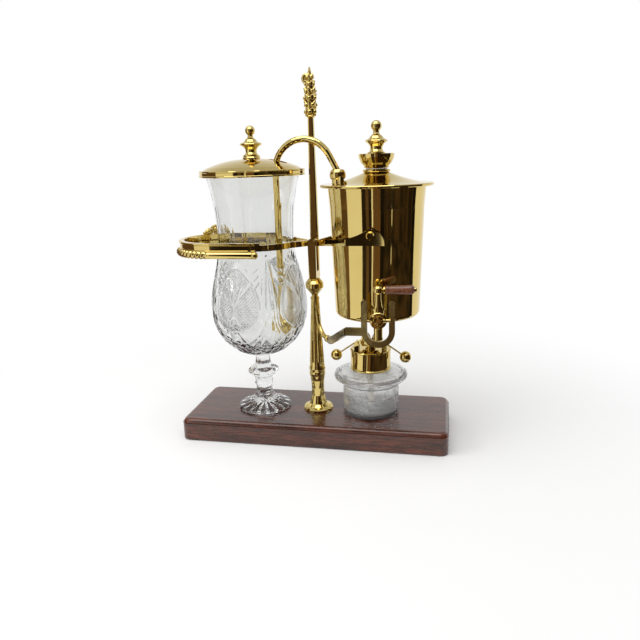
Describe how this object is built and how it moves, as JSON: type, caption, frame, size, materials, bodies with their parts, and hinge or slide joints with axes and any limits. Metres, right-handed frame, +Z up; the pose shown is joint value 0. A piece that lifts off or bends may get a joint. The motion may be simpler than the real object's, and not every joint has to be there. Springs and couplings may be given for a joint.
{
  "type": "siphon coffee maker",
  "caption": "Balance siphon coffee maker with a gold kettle and a cut glass goblet on a column with a tilting beam, a burner with snuffers, and a wooden base.",
  "frame": {"origin": "centre of the base's underside, on the column's axis", "axes": "+Z up along the column, +X from the goblet to the kettle, -Y towards the user, where the tap is"},
  "size_m": [0.3056, 0.1298, 0.4],
  "materials": {
    "dark_wood": "dark red-brown wood under deep clear gloss varnish",
    "felt": "dark felt",
    "steel_fixings": "plain steel, satin",
    "gold_plate": "gold-plated brass, polished",
    "satin_gold": "gold-plated brass sheet, polished with faint spinning lines",
    "aged_brass": "cast brass, darkened in its hollows",
    "silicone": "matt pale silicone",
    "cotton": "woven cotton",
    "cut_glass": "clear cut crystal, polished",
    "frosted_glass": "moulded glass, lightly frosted",
    "rosewood": "red-brown turned wood, varnished"
  },
  "bodies": {
    "stand": {"base_board": "dark_wood", "base_felt": "felt", "column_bolt": "steel_fixings", "column_washer": "steel_fixings", "column_foot": "gold_plate", "column_shaft": "gold_plate", "column_knop": "gold_plate", "column_fork": "gold_plate", "mast_finial": "gold_plate", "beam_pivot_pin": "gold_plate", "cradle_fork": "aged_brass", "cradle_stud": "aged_brass", "goblet": "cut_glass"},
    "beam": {"beam_frame": "gold_plate", "counterweight": "gold_plate", "counterweight_ornament": "aged_brass", "weight_rivets": "gold_plate"},
    "kettle": {"kettle_body": "satin_gold", "kettle_top": "gold_plate", "kettle_pivot_screws": "gold_plate", "filler_neck": "gold_plate", "filler_gasket": "silicone", "tube_port": "gold_plate", "tap_washer": "silicone", "tap_nut": "gold_plate", "tap_body": "gold_plate"},
    "siphon": {"siphon_tube": "gold_plate", "port_stopper": "silicone", "union_nut": "gold_plate", "filter_head": "gold_plate", "filter_cloth": "cotton", "filter_cap": "gold_plate"},
    "steam_plug": {"steam_screw": "gold_plate"},
    "kettle_cap": {"filler_cap": "gold_plate"},
    "lid": {"goblet_lid": "gold_plate", "lid_knob": "gold_plate"},
    "burner": {"burner_bottle": "frosted_glass", "burner_gasket": "silicone", "burner_collar": "gold_plate", "wick_tube": "gold_plate", "wick": "cotton", "hinge_pins": "gold_plate"},
    "snuffer_l": {"snuffer_left": "gold_plate"},
    "snuffer_r": {"snuffer_right": "gold_plate"},
    "tap_key": {"tap_plug": "gold_plate", "tap_lever": "gold_plate", "tap_handle": "rosewood", "tap_end_nut": "gold_plate"}
  },
  "joints": [
    {"name": "beam_tilt", "type": "hinge", "parent": "stand", "child": "beam", "pos_m": [0, 0, 0.219], "axis": [0, 1, 0], "range_deg": [-6, 0]},
    {"name": "kettle_swing", "type": "hinge", "parent": "beam", "child": "kettle", "pos_m": [0.07, 0, 0.233], "axis": [0, 1, 0], "range_deg": [0, 6]},
    {"name": "tap_turn", "type": "hinge", "parent": "kettle", "child": "tap_key", "pos_m": [0.07762, -0.06203, 0.154], "axis": [0, 0, 1], "range_deg": [-90, 0]},
    {"name": "steam_turn", "type": "hinge", "parent": "kettle", "child": "steam_plug", "pos_m": [0.037, -0.028, 0.278], "axis": [0, 0, 1], "range_deg": [0, 180]},
    {"name": "cap_lift", "type": "slide", "parent": "kettle", "child": "kettle_cap", "axis": [0, 0, 1], "range_m": [0, 0.03]},
    {"name": "siphon_lift", "type": "slide", "parent": "kettle", "child": "siphon", "axis": [0, 0, 1], "range_m": [0, 0.145]},
    {"name": "lid_lift", "type": "slide", "parent": "stand", "child": "lid", "axis": [0, 0, 1], "range_m": [0, 0.01]},
    {"name": "burner_slide", "type": "slide", "parent": "stand", "child": "burner", "axis": [0, -1, 0], "range_m": [0, 0.09]},
    {"name": "snuffer_left_turn", "type": "hinge", "parent": "burner", "child": "snuffer_l", "pos_m": [0.0466, 0, 0.1056], "axis": [0, 1, 0], "range_deg": [0, 22]},
    {"name": "snuffer_right_turn", "type": "hinge", "parent": "burner", "child": "snuffer_r", "pos_m": [0.0774, 0, 0.1056], "axis": [0, -1, 0], "range_deg": [0, 22]}
  ],
  "couplings": [
    {"joint": "kettle_swing", "follows": "beam_tilt", "ratio": -1}
  ]
}
